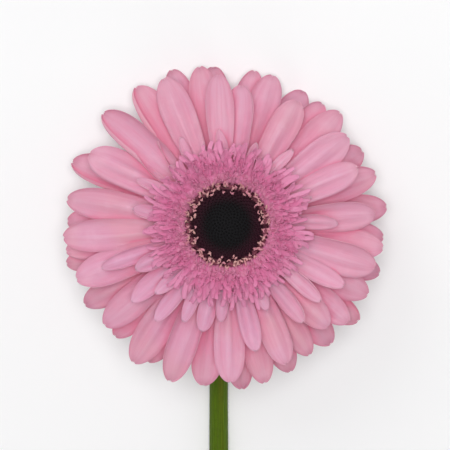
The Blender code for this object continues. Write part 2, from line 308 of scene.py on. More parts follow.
def petal_material(name, light, dusky_row_shade, deep, painted_shade, salmon, rim_shade):
    """Silky petal skin: soft veins, mottled body, saturated painted shade where petals cover each
    other, in the fold grooves and near the root, rims darkened and back rows made duskier by
    painted shade.
    """
    n = Nodes(name, 0.55, Specular_IOR_Level=0.22, Sheen_Weight=0.08, Sheen_Roughness=0.5,
              Subsurface_Weight=0.35, Subsurface_Radius=(0.8, 0.45, 0.5), Subsurface_Scale=0.0008)
    along, across, shade = n.value("along"), n.value("across"), n.value("shade")
    tint, lilac, warm, seed = n.value("tint"), n.value("lilac"), n.value("warm"), n.value("seed")
    streak = n.noise(1.0, 4.0, 0.6, n.vector(n.maths("MULTIPLY", across, 5.0),
                                             n.maths("MULTIPLY", along, 1.6),
                                             n.maths("MULTIPLY", seed, 37.0)))
    blot = n.noise(140.0, 3.0, 0.55)
    # painted shade by row: back rows, which lie under the others, take more of the dusky colour;
    # the rest is random tone
    body = n.mix(tint, light, dusky_row_shade)
    body = n.mix(n.maths("MULTIPLY", warm, n.band(n.noise(60.0, 2.0), 0.35, 0.65)), body, salmon)
    body = n.mix(n.band(streak, 0.38, 0.72, 0.0, 0.28), body, deep)
    body = n.mix(n.maths("MULTIPLY", lilac, n.band(blot, 0.2, 0.8, 0.35, 0.8)), body,
                 linear(202, 150, 187))
    body = n.mix(n.band(blot, 0.45, 0.75, 0.0, 0.3), body, linear(228, 186, 204))
    wave = n.maths("SINE", n.maths("MULTIPLY",
                                   n.maths("ADD", across, n.maths("MULTIPLY", streak, 0.08)), 31.0))
    vein = n.maths("POWER", n.maths("ABSOLUTE", wave), 6.0)
    body = n.mix(n.maths("MULTIPLY",
                         n.maths("SUBTRACT", 1.0, n.band(n.maths("ABSOLUTE", wave), 0.0, 0.45)),
                         0.04), body, deep)
    # painted shade near the petal's root, where florets and other petals cover it
    body = n.mix(n.band(along, 0.08, 0.50, 0.12, 0.0), body, deep)
    # painted shade in the fold grooves, partly the petal's own deeper pink there
    body = n.mix(n.maths("MULTIPLY", n.value("groove"), 0.30), body, deep)
    body = n.mix(n.band(along, 0.6, 1.0, 0.0, 0.28), body, linear(194, 146, 164))
    # painted shade along the petal rims and the tip, stronger on the back rows that lie under
    # others
    edge = n.maths("MAXIMUM", n.band(n.maths("ABSOLUTE", across), 0.6, 1.0, 0.0, 1.0),
                   n.band(along, 0.93, 1.0, 0.0, 0.8))
    body = n.mix(n.maths("MULTIPLY", edge, n.band(tint, 0.0, 0.8, 0.26, 0.5)), body, rim_shade)
    # painted shade between petals: darker where neighbouring petals cover the place
    body = n.mix(n.band(shade, 0.04, 0.42, 0.0, 0.56), body, painted_shade)
    height = n.maths("ADD", n.maths("MULTIPLY", vein, 0.5),
                     n.maths("MULTIPLY", n.noise(900.0, 2.0), 0.5))
    return n.done(body, height, 0.00008, 0.4)


PINK_FACE = petal_material("petal_face", linear(218, 164, 188), linear(200, 144, 166),
                           linear(202, 104, 138),
                           linear(214, 106, 140), linear(217, 163, 174), linear(172, 92, 116))
PINK_UNDER = petal_material("petal_underside", linear(228, 184, 200), linear(220, 174, 190),
                            linear(212, 138, 160), linear(208, 126, 150), linear(226, 180, 188),
                            linear(192, 118, 140))


# ---- long petals --------------------------------------------------------------------
def outline(u, blunt):
    """Share of the full width at u along a ray: narrow claw, broad blade, round end."""
    rise = np.interp(u, (0.0, 0.16, 0.34, 0.52, 0.68), (0.28, 0.46, 0.75, 0.94, 1.0))
    ease = np.convolve(np.pad(rise, 6, mode="edge"), np.ones(13) / 13, mode="valid")
    x = np.clip((u - 0.60) / 0.40, 0.0, 1.0)
    return ease * (1.0 - 0.988 * x ** blunt) ** 0.5


def petal_grid(ray, look, rng, nu=64, nv=27):
    """Grid of face-side points of one ray, in the head's frame, with u and t of each point."""
    k = np.arange(nu) / (nu - 1)
    u = 1.0 - (1.0 - k) ** 1.55
    t = np.sin(np.linspace(-1.0, 1.0, nv) * pi / 2 * 0.93) / sin(pi / 2 * 0.93)
    length = ray["reach"] - ray["root"]
    half = (ray["half"] * look.get("width", 1.08)
            * outline(u, look.get("blunt", rng.uniform(2.6, 3.5))))
    env = np.sin(pi * np.clip(u * 1.04, 0, 1) ** 0.9) ** 0.7
    cup_l = look.get("cup", rng.uniform(-0.35, 0.45))
    cup_r = look.get("cup", rng.uniform(-0.35, 0.45))
    roll_l = look.get("roll_left", rng.uniform(-0.9, 0.9))
    roll_r = look.get("roll_right", rng.uniform(-0.9, 0.6))
    fold = look.get("fold", rng.uniform(0.35, 0.75))
    waves, phase = rng.uniform(1.5, 2.4), rng.uniform(-0.6, 0.6)
    shift = rng.uniform(-0.12, 0.12)
    tu, tt = np.meshgrid(u, t, indexing="ij")
    e = np.interp(tu, u, env)
    side = np.abs(tt)
    cup = np.where(tt > 0, cup_l, cup_r)
    roll = np.where(tt > 0, roll_l, roll_r)
    late = np.clip((tu - 0.25) / 0.35, 0, 1)
    begin = look.get("begin", 0.62)
    curled = np.clip((side - begin) / (1 - begin), 0, 1) ** 1.5
    slope = np.sign(tt) * (e * cup * side ** 1.2 + roll * late * curled * 1.6)
    slope -= fold * e * np.sin(waves * pi * (tt + shift * (1 - tu)) + phase) * (1 - side ** 5)
    slope += 0.16 * e * np.sin(5.0 * pi * (tt - shift) + 2.0 * tu) * (1 - side ** 5)
    step = np.diff(t)
    mean = 0.5 * (slope[:, 1:] + slope[:, :-1])
    y = np.concatenate((np.zeros((nu, 1)), np.cumsum(np.cos(mean) * step, axis=1)), axis=1)
    z = np.concatenate((np.zeros((nu, 1)), np.cumsum(np.sin(mean) * step, axis=1)), axis=1)
    centre = nv // 2
    y = (y - y[:, centre:centre + 1]) * half[:, None]
    z = (z - z[:, centre:centre + 1]) * half[:, None]
    lean = look.get("lean", rng.uniform(-0.24, 0.24)) * tu
    y, z = y * np.cos(lean) - z * np.sin(lean), z * np.cos(lean) + y * np.sin(lean)
    ripple = rng.uniform(0.08, 0.34) * MM * np.sin(tu * rng.uniform(5.0, 9.0) + tt * 1.7
                                                   + rng.uniform(0, 6))
    tip = look.get("tip", rng.uniform(-0.8, 0.7)) * MM * np.clip((tu - 0.78) / 0.22, 0, 1) ** 2
    sag = np.polyval(ray["run"], tu) + ripple * e + tip
    swing = np.polyval(ray["sway"], tu) + look.get("swing", rng.uniform(-0.9, 0.9)) * MM * tu ** 2
    teeth = 0.26 * MM * np.cos(pi * (3.0 * tt + shift)) * np.clip((tu - 0.93) / 0.07, 0, 1) ** 2
    x = ray["root"] + length * tu - teeth
    grid = np.stack((x, swing + y, sag + z), axis=-1)
    # where the folds dip, for the painted shade in the grooves
    groove = (0.5 - 0.5 * np.cos(waves * pi * (tt + shift * (1 - tu))
                                 + phase)) * min(1.0, fold / 0.6) * np.sqrt(e)
    return grid, tu, tt, groove


LOOKS = {
    "middle_petal_07": {"roll_left": 1.9, "begin": 0.30, "width": 1.28, "fold": 0.3, "cup": 0.2},
    "middle_petal_08": {"roll_left": 1.9, "begin": 0.32, "width": 1.28, "fold": 0.3, "cup": 0.2},
    "back_petal_06": {"roll_left": 1.7, "begin": 0.4, "width": 1.2},
    "back_petal_16": {"roll_left": 1.2}, "front_petal_14": {"cup": 0.4},
         "front_petal_04": {"cup": 0.4},
}
rays = []
petal_names = sorted(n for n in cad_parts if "_petal_" in n)
for number, name in enumerate(petal_names):
    rng = np.random.default_rng(500 + number)
    v, f = node_mesh(name)
    q = to_head(v)
    mid = q.mean(axis=0)
    azimuth = atan2(mid[1], mid[0])
    ray = measure_ray(q, f, azimuth, 1.0)
    row = name.split("_")[0]
    grid, tu, tt, groove = petal_grid(ray, LOOKS.get(name, {}), rng)
    thick = 0.30 * MM * (1.0 - 0.55 * np.abs(tt) ** 3)
    # painted shade: back rows lie under the others and are made duskier; plus a random tone
    tint = {"back": 0.78, "middle": 0.36, "front": 0.10}[row] + rng.uniform(-0.1, 0.14)
    lilac = max(0.0, cos(azimuth - radians(225)) - 0.55) * 0.4 + rng.uniform(0.0, 0.15)
    warm = rng.uniform(0.0, 0.6) + 0.4 * max(0.0, -sin(azimuth + 0.5))
    world = from_head(spin(grid, azimuth))
    world[..., 2] = np.maximum(world[..., 2], 0.4 * MM)  # the table stops it
    rays.append((name, row + "_petals", world, thick,
                 {"along": tu, "across": tt, "groove": groove, "tint": tint, "lilac": lilac,
                  "warm": warm, "seed": rng.random()}))

# ---- short inner petals -------------------------------------------------------------
for node in ("inner_petals_lower", "inner_petals_upper"):
    v, f = node_mesh(node)
    q = to_head(v)
    r = np.linalg.norm(q[:, :2], axis=1)
    a = np.arctan2(q[:, 1], q[:, 0])
    far = np.sort(a[r > 0.6 * r.max()])
    groups = np.split(far, np.where(np.diff(far) > radians(5.0))[0] + 1)
    if groups[0][0] + 2 * pi - groups[-1][-1] < radians(5.0):
        groups[0] = np.concatenate((groups[-1] - 2 * pi, groups[0]))
        groups.pop()
    for number, group in enumerate(groups):
        rng = np.random.default_rng(900 + number + 50 * len(groups))
        azimuth = 0.5 * (group.min() + group.max())
        width = 0.5 * (group.max() - group.min())
        span = (np.abs((a - azimuth + pi) % (2 * pi) - pi) < width * 1.3)
        reach = r[span].max()
        ray = measure_ray(q, f, azimuth, reach * width * 1.25)
        open_side = max(0.0, min(1.0, 1.6 * sin(azimuth + 0.15)))
        ray["half"] = reach * width * 0.84 * (1 - 0.2 * open_side)
        ray["reach"] *= 1 - (0.10 + 0.16 * rng.random()) * open_side
        ray["half"] *= rng.uniform(0.86, 1.12)
        ray["reach"] *= rng.uniform(0.88, 1.06)
        look = {"fold": rng.uniform(0.35, 0.8), "blunt": rng.uniform(2.0, 2.8),
                "roll_left": rng.uniform(-0.6, 1.1),
                "swing": rng.uniform(-2.0, 2.0), "lean": rng.uniform(-0.45, 0.45)}
        grid, tu, tt, groove = petal_grid(ray, look, rng, 40, 17)
        lilac = 0.12 + 0.6 * max(0.0, cos(azimuth - radians(228)))
        rays.append((node, "inner_petals", from_head(spin(grid, azimuth)), 0.26 * MM,
                     {"along": tu * 0.85, "across": tt, "groove": groove,
                      "tint": rng.uniform(0.05, 0.35),
                      "lilac": lilac, "warm": 0.2, "seed": rng.random()}))


# ---- how much each place on a petal is covered by its neighbours, for the painted shade ---
def open_sky(grids):
    """A value per grid point: 0 where a petal lies open, towards 1 deep between petals."""
    verts, faces, count = [], [], 0
    for grid in grids:
        coarse = grid[::2, ::2]
        nu, nv = coarse.shape[:2]
        verts.extend(map(tuple, coarse.reshape(-1, 3)))
        faces.extend((count + a * nv + b, count + (a + 1) * nv + b, count + (a + 1) * nv + b + 1,
                      count + a * nv + b + 1)
                     for a in range(nu - 1) for b in range(nv - 1))
        count += nu * nv
    tree = BVHTree.FromPolygons(verts, faces)
    ways = [from_head((sin(tilt) * cos(turn), sin(tilt) * sin(turn), cos(tilt))) - HEAD
            for tilt, turn in ((0.05, 0.0), (0.6, 0.3), (0.6, 1.87), (0.6, 3.44), (0.6, 5.01),
                               (1.05, 1.0), (1.05, 2.57), (1.05, 4.14), (1.05, 5.71))]
    ways = [Vector(w) for w in ways]
    out = []
    far = 14 * MM
    for grid in grids:
        nu, nv = grid.shape[:2]
        value = np.zeros((nu, nv))
        for a in range(0, nu, 2):
            for b in range(0, nv, 2):
                place = Vector(grid[a, b]) + Vector(FACE) * 0.35 * MM
                total = 0.0
                for way in ways:
                    hit = tree.ray_cast(place, way, far)
                    if hit[0] is not None:
                        total += 1.0 - hit[3] / far
                value[a, b] = total / len(ways)
        value[1::2] = value[0:-1:2]
        value[2:-1:2] = value[2:-1:2]
        if nv > 2:
            value[:, 1::2] = 0.5 * (value[:, 0:-1:2] + value[:, 2::2])
        value[1:-1:2] = 0.5 * (value[0:-2:2] + value[2::2])
        for _ in range(2):
            value[1:-1] = 0.25 * value[:-2] + 0.5 * value[1:-1] + 0.25 * value[2:]
            value[:, 1:-1] = 0.25 * value[:, :-2] + 0.5 * value[:, 1:-1] + 0.25 * value[:, 2:]
        out.append(value)
    return out


heaps = {}
for (name, slot, grid, thick, values), shade in zip(rays, open_sky([r[2] for r in rays])):
    heap = heaps.setdefault((name, slot), Heap())
    add_sheet(heap, grid, thick, (0, 1), shade=shade, **values)
for (name, slot), heap in heaps.items():
    heap.make(name + "_skin", (PINK_FACE, PINK_UNDER), (name,), slot)

# ---- curly florets ------------------------------------------------------------------
n = Nodes("floret", 0.65, Specular_IOR_Level=0.03,
          Subsurface_Weight=0.12, Subsurface_Radius=(0.6, 0.4, 0.45), Subsurface_Scale=0.0004)
along, tint, place = n.value("along"), n.value("tint"), n.value("place")
body = n.mix(tint, linear(199, 100, 142), linear(211, 132, 168))
# painted shade at the foot of each floret, deep among the others
body = n.mix(n.band(along, 0.0, 0.5, 0.3, 0.0), body, linear(194, 86, 124))
# painted highlight on the curled lips of the florets
body = n.mix(n.band(along, 0.70, 1.0, 0.0, 0.25), body, linear(214, 152, 180))
body = n.mix(n.band(n.noise(420.0), 0.4, 0.7, 0.0, 0.15), body, linear(198, 102, 146))
body = n.mix(n.band(place, 0.0, 0.3, 0.4, 0.0), body, linear(190, 128, 146))
body = n.mix(n.band(place, 0.6, 1.0, 0.0, 0.6), body, linear(218, 152, 182))
FLORET = n.done(body, n.noise(1500.0), 0.00006, 0.4)


def floret_path(rng, foot_r, foot_z, length, rise, fall, curl, side_curl, n):
    """A path that climbs out of the disc, arches outwards and rolls over at its lip."""
    s = np.linspace(0, 1, n)
    lip = np.clip((s - 0.62) / 0.38, 0, 1)
    pitch = rise + (fall - rise) * s ** 0.8 + curl * lip ** 1.2
    pitch += rng.uniform(0.1, 0.3) * np.sin(s * rng.uniform(5.0, 10.0) + rng.uniform(0, 6)) * s
    yaw = (rng.uniform(0.1, 0.45) * np.sin(s * rng.uniform(3.0, 8.0) + rng.uniform(0, 6))
           * np.sqrt(s))
    yaw += rng.uniform(-0.25, 0.25) + rng.uniform(-side_curl, side_curl) * lip ** 1.5
    step = length / (n - 1)
    d = np.stack((np.cos(pitch) * np.cos(yaw), np.cos(pitch) * np.sin(yaw), np.sin(pitch)),
                 axis=1) * step
    p = np.concatenate((np.zeros((1, 3)), np.cumsum(0.5 * (d[1:] + d[:-1]), axis=0)))
    return p + np.array((foot_r, 0.0, foot_z))


def strap_grid(path, widths, groove, side, nv=5):
    """A narrow channelled strap along a path."""
    run = np.gradient(path, axis=0)
    run /= np.linalg.norm(run, axis=1, keepdims=True)
    across = np.cross(np.broadcast_to(side, run.shape), run)
    across /= np.linalg.norm(across, axis=1, keepdims=True)
    up = np.cross(run, across)
    t = np.linspace(-1, 1, nv)
    lift = groove * (t * t)[None, :, None] * widths[:, None, None]
    return (path[:, None, :] + across[:, None, :] * (widths[:, None] * t)[..., None]
            + up[:, None, :] * lift)


rows = (
    # node, how many, foot radius, foot height, length, rise, fall, half width
    ("outer_florets", 66, 16.4, 0.6, 12.6, 0.30, -0.10, 0.74),
    ("outer_florets", 72, 16.2, 0.8, 11.4, 0.36, -0.05, 0.70),
    ("outer_florets", 74, 15.9, 1.0, 10.2, 0.44, 0.00, 0.68),
    ("outer_florets", 72, 15.6, 1.1, 8.9, 0.54, 0.05, 0.66),
    ("inner_florets", 70, 15.3, 1.2, 7.6, 0.66, 0.10, 0.64),
    ("inner_florets", 66, 14.9, 1.4, 6.3, 0.78, 0.15, 0.62),
    ("inner_florets", 62, 14.5, 1.5, 5.2, 0.90, 0.20, 0.58),
    ("inner_florets", 60, 14.0, 1.6, 4.1, 1.02, 0.25, 0.54),
    ("inner_florets", 54, 13.9, 1.8, 3.0, 1.15, 0.30, 0.46),
)
heaps = {"outer_florets": Heap(), "inner_florets": Heap()}
for number, (node, count, foot_r, foot_z, length, rise, fall, half) in enumerate(rows):
    for k in range(count):
        rng = np.random.default_rng(3000 + 200 * number + k)
        angle = 2 * pi * (k + rng.uniform(-0.4, 0.4) + 0.37 * number) / count
        size = length * rng.uniform(0.82, 1.16) * MM
        calm = 0.7 if number < 3 else 1.0
        curl = calm * (rng.uniform(-1.8, -0.2) if rng.random() < 0.55 else rng.uniform(0.4, 1.9))
        path = floret_path(rng, (foot_r + rng.uniform(-0.5, 0.5)) * MM, foot_z * MM, size,
                           rise + rng.uniform(-0.12, 0.2), fall + rng.uniform(-0.2, 0.3), curl,
                           1.2 * calm, 13)
        s = np.linspace(0, 1, 13)
        widths = half * MM * np.interp(s, (0, 0.3, 0.6, 0.92, 1.0), (0.4, 0.6, 1.0, 0.95, 0.6))
        widths = widths * rng.uniform(0.75, 1.15)
        grid = strap_grid(path, widths, rng.uniform(0.1, 0.5),
                          np.array((0.0, rng.uniform(-0.5, 0.5), 1.0)))
        tint = 0.35 + 0.3 * rng.random()
        place = max(0.0, 1.0 - number / 7)
        add_sheet(heaps[node], from_head(spin(grid, angle)), 0.16 * MM, along=np.repeat(s, 5),
                  tint=tint, place=place)
        for lip in (-1, 1):
            if rng.random() < 0.6:
                continue
            here = int(rng.integers(6, 9))
            start = path[here] + np.array((0.0, lip * widths[here] * 0.5, 0.0))
            q = np.linspace(0, 1, 8)
            bend = rng.uniform(2.2, 4.6)
            out = rng.uniform(1.6, 2.8) * MM
            thread = start + out * np.stack((np.sin(q * bend) / bend * 1.3,
                                             lip * q * rng.uniform(0.2, 0.8),
                                             (1 - np.cos(q * bend)) / bend * 0.9), axis=1)
            add_tube(heaps[node], from_head(spin(thread, angle)),
                     np.interp(q, (0, 0.8, 1), (0.26, 0.24, 0.12)) * MM,
                     5, along=0.55 + 0.3 * q, tint=tint, place=place)


def packed_tubes(heap, profile, around, seed):
    """The floret tubes standing side by side, as a lumpy ring under the curled lips."""
    rng = np.random.default_rng(seed)
    rough = rng.normal(0, 0.24, (around, len(profile)))
    verts, faces = [], []
    for k in range(around):
        a = 2 * pi * k / around
        for j, (r, z) in enumerate(profile):
            lift = 0.0 if j in (0, len(profile) - 1) else rough[k, j] + 0.22 * cos(k * pi)
            verts.append((r * cos(a) * MM, r * sin(a) * MM, (z + lift) * MM))
    m = len(profile)
    for k in range(around):
        for j in range(m):
            j2 = (j + 1) % m
            faces.append((k * m + j, (k + 1) % around * m + j, (k + 1) % around * m + j2,
                          k * m + j2))
    heap.add(from_head(np.array(verts)), faces, 0, along=0.42, tint=rng.random(around * m),
             place=rng.random(around * m))


packed_tubes(heaps["inner_florets"],
             ((14.1, 0.4), (14.3, 2.0), (15.0, 2.9), (16.0, 3.2), (17.2, 3.0), (18.0, 2.2),
              (18.0, 0.4)),
             150, 61)
packed_tubes(heaps["outer_florets"],
             ((18.1, 0.8), (18.1, 2.3), (19.2, 2.7), (20.3, 2.4), (21.2, 1.8), (21.6, 1.1),
              (20.6, 0.8)),
             180, 62)
for node, heap in heaps.items():
    heap.make(node + "_curls", (FLORET,), (node,), "florets")

# ---- anthers and stigmas ------------------------------------------------------------
n = Nodes("anther", 0.5, Specular_IOR_Level=0.35)
along, tint = n.value("along"), n.value("tint")
cream = n.mix(tint, linear(206, 160, 152), linear(206, 130, 150))
cream = n.mix(n.band(n.noise(1400.0), 0.35, 0.7, 0.0, 0.4), cream, linear(180, 108, 120))
ANTHER = n.done(n.mix(n.band(along, 0.25, 0.5, 1.0, 0.0), cream, linear(48, 18, 28)),
                n.noise(2500.0), 0.00005, 0.4)
n = Nodes("heart_bud", 0.75, Specular_IOR_Level=0.12)
radius, tip = n.value("radius"), n.value("along")
dark = n.mix(n.band(radius, 0.55, 0.95), linear(16, 15, 17), linear(50, 20, 32))
dark = n.mix(n.maths("MULTIPLY", n.band(tip, 0.6, 1.0, 0.0, 0.35), n.band(radius, 0.3, 1.0)), dark,
             linear(84, 34, 50))
HEART = n.done(dark, n.noise(2000.0), 0.00004, 0.3)

heap = Heap()
for count, ring, tall in ((34, 11.4, 3.2), (46, 12.4, 3.4), (56, 13.5, 3.2)):
    for k in range(count):
        rng = np.random.default_rng(7000 + 100 * count + k)
        angle = 2 * pi * (k + rng.uniform(-0.42, 0.42)) / count
        foot = (ring + rng.uniform(-0.5, 0.5)) * MM
        size = tall * rng.uniform(0.8, 1.3) * MM
        s = np.linspace(0, 1, 12)
        lean = (rng.uniform(-0.35, 0.7)
                + rng.uniform(-1.6, 2.4) * np.clip((s - 0.45) / 0.55, 0, 1) ** 1.2)
        sway = rng.uniform(-1.0, 1.0) * s + rng.uniform(-1.5, 1.5) * np.clip((s - 0.5) / 0.5, 0, 1)
        d = np.stack((np.sin(lean) * np.cos(sway), np.sin(sway) * 0.8, np.cos(lean) * np.cos(sway)),
                     axis=1) * size / 11
        path = (np.concatenate((np.zeros((1, 3)), np.cumsum(d[1:], axis=0)))
                + np.array((foot, 0.0, 0.8 * MM)))
        radii = np.interp(s, (0, 0.4, 0.52, 0.85, 0.96, 1.0),
                          (0.26, 0.24, 0.40, 0.42, 0.3, 0.12)) * MM
        radii = radii * rng.uniform(0.65, 1.05)
        tint = rng.random()
        add_tube(heap, from_head(spin(path, angle)), radii, 7, along=s, tint=tint)
        for lip in (-1, 1):
            if rng.random() < 0.4:
                continue
            q = np.linspace(0, 1, 5)
            thread = path[-2] + MM * np.stack((q * 0.6, lip * np.sin(q * 1.9) * 0.6,
                                               q * 0.5 - q * q * 0.4), axis=1)
            add_tube(heap, from_head(spin(thread, angle)),
                     np.array((0.18, 0.2, 0.19, 0.15, 0.06)) * MM, 5,
                     along=1.0, tint=tint)
# the dark floor that the anthers stand in
profile = ((10.7, 0.3), (10.9, 1.4), (12.4, 1.7), (13.6, 1.2), (14.2, 0.5), (14.2, 0.1),
           (10.7, 0.1))
verts, faces = [], []
around, m = 96, len(profile)
for k in range(around):
    a = 2 * pi * k / around
    verts.extend((r * cos(a) * MM, r * sin(a) * MM, z * MM) for r, z in profile)
    for j in range(m):
        j2 = (j + 1) % m
        faces.append((k * m + j, (k + 1) % around * m + j, (k + 1) % around * m + j2, k * m + j2))
heap.add(from_head(np.array(verts)), faces, 1, away=np.tile([p[0] for p in profile], around))
n = Nodes("floret_floor", 0.8, Specular_IOR_Level=0.1)
brown = n.mix(n.band(n.noise(500.0), 0.4, 0.6), linear(74, 34, 46), linear(150, 84, 100))
FLOOR = n.done(n.mix(n.band(n.value("away"), 11.6, 13.4), linear(46, 20, 30), brown),
               n.noise(1500.0), 0.0001, 0.6)
heap.make("anthers", (ANTHER, FLOOR), ("anther_ring",), "anthers")

# ---- dark heart ---------------------------------------------------------------------
heap = Heap()
HEART_REACH = HEART_RADIUS - 0.6 * MM
count = 430
for k in range(count):
    rng = np.random.default_rng(9000 + k)
    share = ((k + 0.5) / count) ** 0.5
    angle = k * pi * (3 - 5 ** 0.5)
    r = share * HEART_REACH
    base = HEART_TOP * (0.55 + 0.45 * cos(share * 1.25))
    tall = (1.0 + 1.1 * share ** 3) * MM * rng.uniform(0.9, 1.15)
    wide = (0.34 + 0.10 * share) * MM
    s = np.linspace(0, 1, 6)
    lean = 0.5 * share ** 2 * rng.uniform(0.6, 1.3)
    path = np.stack((r + tall * s * sin(lean), rng.uniform(-0.1, 0.1) * tall * s,
                     base - 0.9 * MM + tall * s * cos(lean)), axis=1)
    radii = wide * np.array((0.9, 1.0, 0.98, 0.8, 0.5, 0.14))
    add_tube(heap, from_head(spin(path, angle)), radii, 7, along=s, radius=share)
# the closed dome that the buds stand in: a top point, twelve rings and a flat foot
AROUND, STEPS, SUNK = 48, 12, 0.45 * MM
turns = [(cos(2 * pi * k / AROUND), sin(2 * pi * k / AROUND)) for k in range(AROUND)]
verts = [(0.0, 0.0, HEART_TOP - SUNK)]
for j in range(1, STEPS + 1):
    share = j / STEPS
    z = HEART_TOP * (0.55 + 0.45 * cos(share * 1.25)) - SUNK
    verts.extend((share * HEART_REACH * c, share * HEART_REACH * s, z) for c, s in turns)
verts.extend((HEART_REACH * c, HEART_REACH * s, 0.0) for c, s in turns)
faces = []
for k in range(AROUND):
    k2 = (k + 1) % AROUND
    faces.append((0, 1 + k, 1 + k2))
    for j in range(STEPS):
        a = 1 + AROUND * j
        faces.append((a + k, a + AROUND + k, a + AROUND + k2, a + k2))
faces.append(tuple(reversed(range(1 + AROUND * STEPS, 1 + AROUND * (STEPS + 1)))))
share = np.concatenate(((0.0,), np.repeat(np.arange(1, STEPS + 1) / STEPS, AROUND),
                        np.ones(AROUND)))
heap.add(from_head(np.array(verts)), faces, 0, radius=share)
heap.make("heart_buds", (HEART,), ("disc_heart",), "heart")

# ---- cup of green bracts ------------------------------------------------------------
n = Nodes("bract", 0.6, Specular_IOR_Level=0.3, Sheen_Weight=0.35, Sheen_Roughness=0.6)
along, across, tint = n.value("along"), n.value("across"), n.value("tint")
green = n.mix(tint, linear(104, 128, 52), linear(134, 156, 76))
green = n.mix(n.band(n.maths("ABSOLUTE", across), 0.0, 0.3, 0.5, 0.0), green, linear(82, 108, 38))
green = n.mix(n.band(along, 0.62, 1.0, 0.0, 0.7), green, linear(92, 62, 46))
green = n.mix(n.band(n.noise(500.0), 0.4, 0.75, 0.0, 0.5), green, linear(150, 168, 104))
BRACT = n.done(green, n.noise(1300.0, 4.0), 0.0001, 0.7)
BRACT_HAIRS = 14


def bract_rows(node, layers, hair_seed):
    """Rows of keeled, hairy bracts on the cup: how many, start, end, half width, lift."""
    v, _ = node_mesh(node)
    q = to_head(np.unique(np.round(v, 6), axis=0))
    r, z = np.linalg.norm(q[:, :2], axis=1), q[:, 2]
    pivot = z.max() + 5 * MM
    turn = np.arctan2(z - pivot, r)
    fit = np.polyfit(turn, np.hypot(r, z - pivot), 3)
    low, high = turn.min(), turn.max()
    heap = Heap()
    for layer, (count, start, end, half, out) in enumerate(layers):
        for k in range(count):
            rng = np.random.default_rng(hair_seed + 100 * layer + k)
            s = np.linspace(0, 1, 16)
            stop = end * rng.uniform(0.93, 1.03)
            a = low + (high - low) * (start + (stop - start) * s)
            dist = np.polyval(fit, a) + (0.45 + out * s ** 2.5) * MM
            path = np.stack((dist * np.cos(a), np.zeros(16), pivot + dist * np.sin(a)), axis=1)
            widths = half * MM * np.interp(s, (0, 0.25, 0.5, 0.8, 1.0),
                                           (0.62, 0.92, 1.0, 0.6, 0.07))
            widths *= rng.uniform(0.88, 1.1)
            run = np.gradient(path, axis=0)
            run /= np.linalg.norm(run, axis=1, keepdims=True)
            outward = np.stack((-run[:, 2], run[:, 1], run[:, 0]), axis=1) * -1
            t = np.linspace(-1, 1, 9)
            keel = (0.35 * MM * (1 - np.abs(t) ** 1.3)[None, :]
                    * np.interp(s, (0, 0.5, 1), (0.7, 1, 0.3))[:, None])
            grid = path[:, None, :] + np.array((0.0, 1.0, 0.0)) * (widths[:, None] * t)[..., None]
            grid = grid + outward[:, None, :] * keel[..., None]
            angle = 2 * pi * (k + 0.5 * layer + rng.uniform(-0.12, 0.12)) / count
            ss, tt = np.meshgrid(s, t, indexing="ij")
            add_sheet(heap, from_head(spin(grid[:, ::-1], angle)), 0.28 * MM, along=ss, across=tt,
                      tint=rng.random())
            for _ in range(BRACT_HAIRS):
                i, j = rng.integers(1, 15), rng.integers(1, 8)
                foot = grid[i, j]
                d = outward[i] + rng.normal(0, 0.35, 3)
                hair = (foot + np.linspace(0, 1, 3)[:, None] * d / np.linalg.norm(d)
                        * rng.uniform(0.5, 0.9) * MM)
                add_tube(heap, from_head(spin(hair, angle)), np.array((0.035, 0.028, 0.008)) * MM,
                         3, along=0.2, across=0.6, tint=1.0)
    heap.make(node + "_leaves", (BRACT,), (node,), "bracts")


bract_rows("inner_bracts", ((24, 0.02, 1.0, 1.75, 0.5),), 12000)
bract_rows("outer_bracts",
           ((20, 0.0, 1.0, 1.7, 0.8), (16, 0.0, 0.66, 1.6, 1.1), (11, -0.06, 0.36, 1.3, 1.3)),
           14000)

n = Nodes("receptacle_pith", 0.7, Specular_IOR_Level=0.2)
pith = n.mix(n.band(n.noise(600.0), 0.35, 0.7), linear(150, 168, 96), linear(188, 196, 130))
pith = n.mix(n.band(n.noise(120.0), 0.35, 0.65, 0.2, 0.7), pith, linear(176, 116, 124))
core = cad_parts["receptacle"]
core.data.materials.clear()
core.data.materials.append(n.done(pith, n.noise(1500.0), 0.0002, 0.6))

# ---- stem ---------------------------------------------------------------------------
v, f = node_mesh("stem")
low, high = v.min(axis=0), v.max(axis=0)
tops = v[((v - HEAD) @ FACE) > ((v - HEAD) @ FACE)[v[:, 1] > high[1] - 8 * MM].max() - 0.2 * MM]
tops = tops[tops[:, 1] > high[1] - 12 * MM]
here = tops.mean(axis=0)
heading = -FACE
line, reach = [here], []
first = cut(v, f, here + heading * 0.3 * MM, heading)
first = first[np.linalg.norm(first - here, axis=1) < 12 * MM]
reach.append(np.linalg.norm(first - first.mean(axis=0), axis=1).mean())
while True:
    ahead = line[-1] + heading * 2.0 * MM
    ring = cut(v, f, ahead, heading)
    ring = ring[np.linalg.norm(ring - ahead, axis=1) < 9 * MM] if len(ring) else ring
    if len(ring) < 6:
        break
    # centre of the ring's extent, which uneven points can't pull aside
    side = np.cross(heading, (1.0, 0.0, 0.0))
    side /= np.linalg.norm(side)
    other = np.cross(side, heading)
    a, b = (ring - ahead) @ side, (ring - ahead) @ other
    now = ahead + side * 0.5 * (a.min() + a.max()) + other * 0.5 * (b.min() + b.max())
    fresh = now - line[-1]
    heading = 0.5 * heading + 0.5 * fresh / np.linalg.norm(fresh)
    heading /= np.linalg.norm(heading)
    line.append(now)
    reach.append(0.25 * (a.max() - a.min() + b.max() - b.min()))
line.append(np.array((line[-1][0], low[1] + 0.05 * MM, line[-1][2])))
reach.append(reach[-1])
line, reach = np.array(line), np.array(reach)
for _ in range(3):
    line[1:-1] = 0.25 * line[:-2] + 0.5 * line[1:-1] + 0.25 * line[2:]

